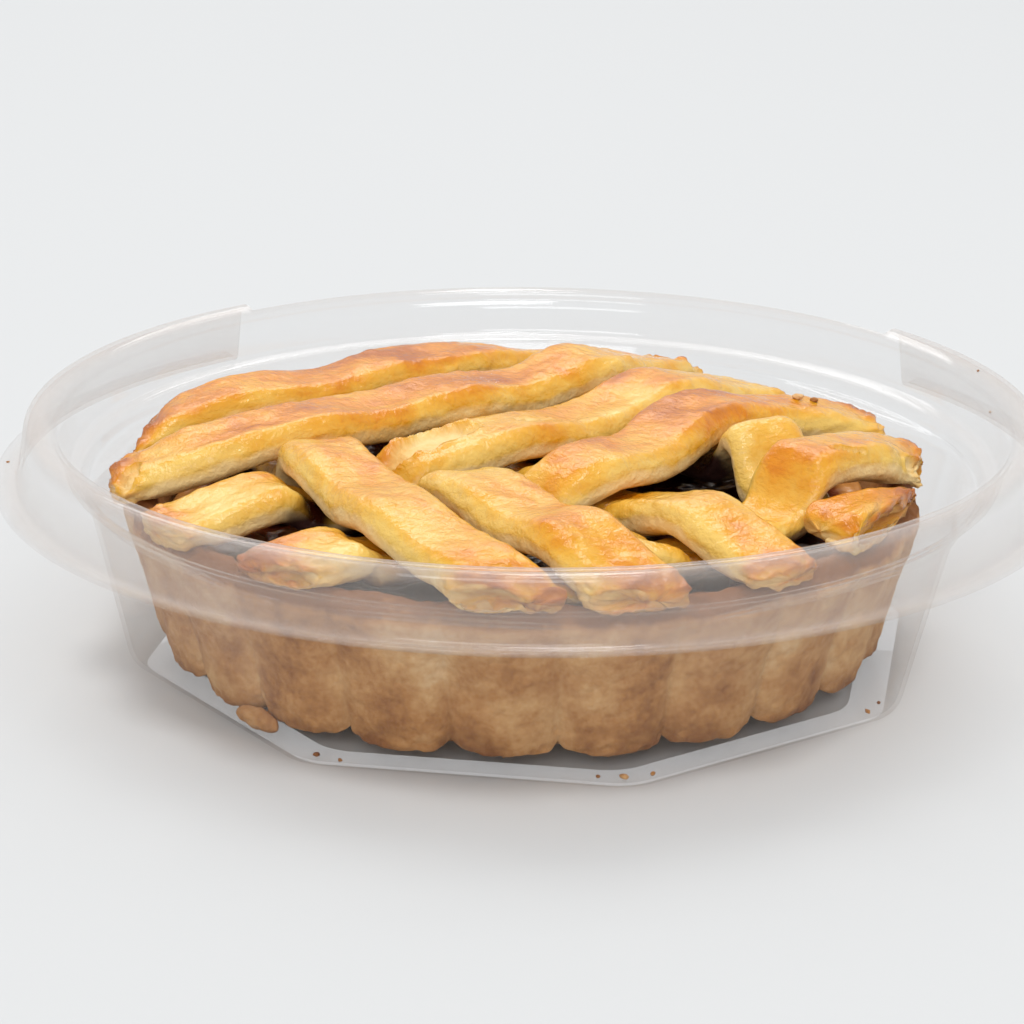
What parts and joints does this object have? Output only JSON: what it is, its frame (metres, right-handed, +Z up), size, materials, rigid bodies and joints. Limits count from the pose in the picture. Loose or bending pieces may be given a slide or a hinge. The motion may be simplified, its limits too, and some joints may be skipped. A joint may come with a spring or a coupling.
{
  "type": "lattice-top apple pie in a clear tub",
  "caption": "Small round apple pie with a fluted crust, dark filling and a woven lattice top, standing in its open clear plastic tub.",
  "frame": {"origin": "centre of the bounding box at the level of the table under the tub", "axes": "+Z up, -Y towards the side with the tub's whole rim, the rim's missing stretch towards +Y"},
  "size_m": [0.1622, 0.1538, 0.0376],
  "materials": {
    "clear_plastic": "clear, glossy",
    "baked_crust": "matte baked shortcrust",
    "glazed_pastry": "egg-washed and baked",
    "dark_filling": "moist cooked apple"
  },
  "bodies": {
    "root": {"tub": "clear_plastic", "crust": "baked_crust", "crust_scrap": "baked_crust", "filling": "dark_filling", "strip_long_1": "glazed_pastry", "strip_long_2": "glazed_pastry", "strip_long_3": "glazed_pastry", "strip_long_4": "glazed_pastry", "strip_long_5": "glazed_pastry", "strip_long_6": "glazed_pastry", "strip_cross_1": "glazed_pastry", "strip_cross_2": "glazed_pastry", "strip_cross_3": "glazed_pastry", "strip_cross_4": "glazed_pastry"}
  },
  "joints": []
}
